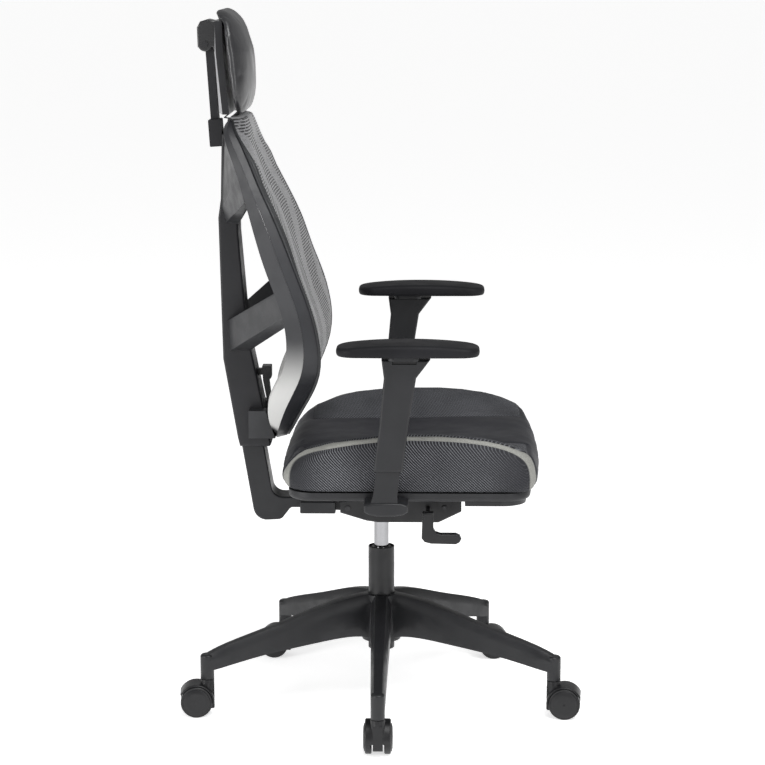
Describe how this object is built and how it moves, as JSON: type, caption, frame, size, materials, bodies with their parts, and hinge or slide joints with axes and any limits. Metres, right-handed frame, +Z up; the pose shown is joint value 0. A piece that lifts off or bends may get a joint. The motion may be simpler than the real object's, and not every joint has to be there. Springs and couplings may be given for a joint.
{
  "type": "gaming chair",
  "caption": "Swivel gaming chair on casters with a gas lift, reclining mesh back, adjustable headrest and height-adjustable armrests.",
  "frame": {"origin": "on the floor under the gas column's axis", "axes": "+Z up; the sitter faces -Y; the sitter's right hand is at -X"},
  "size_m": [0.7115, 0.7624, 1.325],
  "materials": {
    "nylon_black": "satin moulded nylon with a fine grain",
    "caster_plastic": "satin",
    "caster_tread": "hard smooth tread, satin",
    "steel": "zinc plated",
    "black_metal": "satin black powder coat",
    "bushing_plastic": "moulded",
    "chrome": "polished",
    "lever_plastic": "semi-gloss",
    "seat_shell": "fine spark-eroded texture",
    "plywood": "raw, hidden",
    "seat_cover": "leather centre with ribbed mesh bolsters and grey piping bands",
    "frame_grey": "grey, fine spark-eroded texture",
    "carrier_black": "satin",
    "mesh": "woven mesh with rows of short slits",
    "head_shell": "satin light grey",
    "head_leather": "smooth synthetic leather",
    "arm_pad": "soft moulded polyurethane, satin"
  },
  "bodies": {
    "base": {"star_base": "nylon_black", "column_tube": "black_metal", "column_bushing": "bushing_plastic", "thrust_bearing": "steel", "caster_stems": "steel"},
    "column_rod": {"piston_rod": "steel", "retaining_clip": "steel"},
    "mechanism": {"gas_cylinder": "chrome", "mech_housing": "black_metal", "recline_pin": "steel", "recline_spring": "steel", "tilt_pin": "steel"},
    "lever": {"lever_rod": "steel", "lever_paddle": "lever_plastic"},
    "seat": {"seat_plate": "black_metal", "seat_bolts": "steel", "seat_pan": "seat_shell", "seat_board": "plywood", "seat_cushion": "seat_cover", "arm_bracket_left": "nylon_black", "arm_bracket_right": "nylon_black"},
    "recline": {"recline_bracket": "nylon_black", "j_bar": "nylon_black", "j_bar_bolts": "steel"},
    "backrest": {"spine": "frame_grey", "back_yoke": "frame_grey", "back_struts": "frame_grey", "back_hoop": "frame_grey", "mesh_carrier": "carrier_black", "back_mesh": "mesh", "post_bracket": "frame_grey"},
    "latch": {"height_latch": "lever_plastic"},
    "head_post": {"head_post": "frame_grey", "head_pin": "steel"},
    "headrest": {"head_hood": "frame_grey", "head_shell": "head_shell", "head_cushion": "head_leather"},
    "arm_right": {"arm_sleeve_right": "nylon_black", "arm_plate_right": "nylon_black"},
    "button_right": {"arm_button_right": "lever_plastic"},
    "pad_right": {"arm_pad_right": "arm_pad"},
    "arm_left": {"arm_sleeve_left": "nylon_black", "arm_plate_left": "nylon_black"},
    "button_left": {"arm_button_left": "lever_plastic"},
    "pad_left": {"arm_pad_left": "arm_pad"},
    "caster_1": {"caster_1_body": "caster_plastic", "caster_1_axle": "steel"},
    "wheels_1": {"caster_1_wheels": "caster_tread"},
    "caster_2": {"caster_2_body": "caster_plastic", "caster_2_axle": "steel"},
    "wheels_2": {"caster_2_wheels": "caster_tread"},
    "caster_3": {"caster_3_body": "caster_plastic", "caster_3_axle": "steel"},
    "wheels_3": {"caster_3_wheels": "caster_tread"},
    "caster_4": {"caster_4_body": "caster_plastic", "caster_4_axle": "steel"},
    "wheels_4": {"caster_4_wheels": "caster_tread"},
    "caster_5": {"caster_5_body": "caster_plastic", "caster_5_axle": "steel"},
    "wheels_5": {"caster_5_wheels": "caster_tread"}
  },
  "joints": [
    {"name": "seat_swivel", "type": "hinge", "parent": "base", "child": "column_rod", "pos_m": [0, 0, 0.18], "axis": [0, 0, 1], "continuous": true},
    {"name": "seat_height", "type": "slide", "parent": "column_rod", "child": "mechanism", "axis": [0, 0, 1], "range_m": [-0.044, 0.056]},
    {"name": "lever_pull", "type": "hinge", "parent": "mechanism", "child": "lever", "pos_m": [0, -0.089, 0.398], "axis": [-1, 0, 0], "range_deg": [0, 15], "stiffness_Nm_per_rad": 2, "springref_deg": -11.46},
    {"name": "recline", "type": "hinge", "parent": "mechanism", "child": "recline", "pos_m": [0, 0.062, 0.396], "axis": [-1, 0, 0], "range_deg": [0, 22], "stiffness_Nm_per_rad": 90, "springref_deg": -20.05},
    {"name": "seat_tilt", "type": "hinge", "parent": "mechanism", "child": "seat", "pos_m": [0, -0.12, 0.4], "axis": [-1, 0, 0], "range_deg": [0, 6.6]},
    {"name": "back_height", "type": "slide", "parent": "recline", "child": "backrest", "axis": [0, 0.1668, 0.986], "range_m": [0, 0.05]},
    {"name": "latch_press", "type": "slide", "parent": "backrest", "child": "latch", "axis": [0, 1, 0], "range_m": [0, 0.004], "stiffness_N_per_m": 600, "springref_m": -0.003},
    {"name": "head_height", "type": "slide", "parent": "backrest", "child": "head_post", "axis": [0, 0.0654, 0.9979], "range_m": [0, 0.025]},
    {"name": "head_tilt", "type": "hinge", "parent": "head_post", "child": "headrest", "pos_m": [0, 0.324, 1.26], "axis": [-1, 0, 0], "range_deg": [0, 25]},
    {"name": "arm_height_right", "type": "slide", "parent": "seat", "child": "arm_right", "axis": [0, -0.1219, 0.9925], "range_m": [-0.035, 0.035]},
    {"name": "arm_button_right", "type": "slide", "parent": "arm_right", "child": "button_right", "axis": [1, 0, 0], "range_m": [0, 0.0025], "stiffness_N_per_m": 400, "springref_m": -0.002},
    {"name": "pad_slide_right", "type": "slide", "parent": "arm_right", "child": "pad_right", "axis": [0, 1, 0], "range_m": [-0.025, 0.02]},
    {"name": "arm_height_left", "type": "slide", "parent": "seat", "child": "arm_left", "axis": [0, -0.1219, 0.9925], "range_m": [-0.05, 0.013]},
    {"name": "arm_button_left", "type": "slide", "parent": "arm_left", "child": "button_left", "axis": [-1, 0, 0], "range_m": [0, 0.0025], "stiffness_N_per_m": 400, "springref_m": -0.002},
    {"name": "pad_slide_left", "type": "slide", "parent": "arm_left", "child": "pad_left", "axis": [0, 1, 0], "range_m": [-0.005, 0.035]},
    {"name": "caster_1_swivel", "type": "hinge", "parent": "base", "child": "caster_1", "pos_m": [-0.345, 0, 0.06], "axis": [0, 0, 1], "continuous": true},
    {"name": "caster_1_roll", "type": "hinge", "parent": "caster_1", "child": "wheels_1", "pos_m": [-0.324, 0, 0.03], "axis": [0, 1, 0], "continuous": true},
    {"name": "caster_2_swivel", "type": "hinge", "parent": "base", "child": "caster_2", "pos_m": [-0.10661, -0.32811, 0.06], "axis": [0, 0, 1], "continuous": true},
    {"name": "caster_2_roll", "type": "hinge", "parent": "caster_2", "child": "wheels_2", "pos_m": [-0.10844, -0.34903, 0.03], "axis": [0.9962, -0.0872, 0], "continuous": true},
    {"name": "caster_3_swivel", "type": "hinge", "parent": "base", "child": "caster_3", "pos_m": [0.27911, -0.20279, 0.06], "axis": [0, 0, 1], "continuous": true},
    {"name": "caster_3_roll", "type": "hinge", "parent": "caster_3", "child": "wheels_3", "pos_m": [0.28203, -0.22358, 0.03], "axis": [0.9903, 0.1392, 0], "continuous": true},
    {"name": "caster_4_swivel", "type": "hinge", "parent": "base", "child": "caster_4", "pos_m": [0.27911, 0.20279, 0.06], "axis": [0, 0, 1], "continuous": true},
    {"name": "caster_4_roll", "type": "hinge", "parent": "caster_4", "child": "wheels_4", "pos_m": [0.28203, 0.22358, 0.03], "axis": [-0.9903, 0.1392, 0], "continuous": true},
    {"name": "caster_5_swivel", "type": "hinge", "parent": "base", "child": "caster_5", "pos_m": [-0.10661, 0.32811, 0.06], "axis": [0, 0, 1], "continuous": true},
    {"name": "caster_5_roll", "type": "hinge", "parent": "caster_5", "child": "wheels_5", "pos_m": [-0.10844, 0.34903, 0.03], "axis": [-0.9962, -0.0872, 0], "continuous": true}
  ],
  "couplings": [
    {"joint": "seat_tilt", "follows": "recline", "ratio": 0.3}
  ]
}
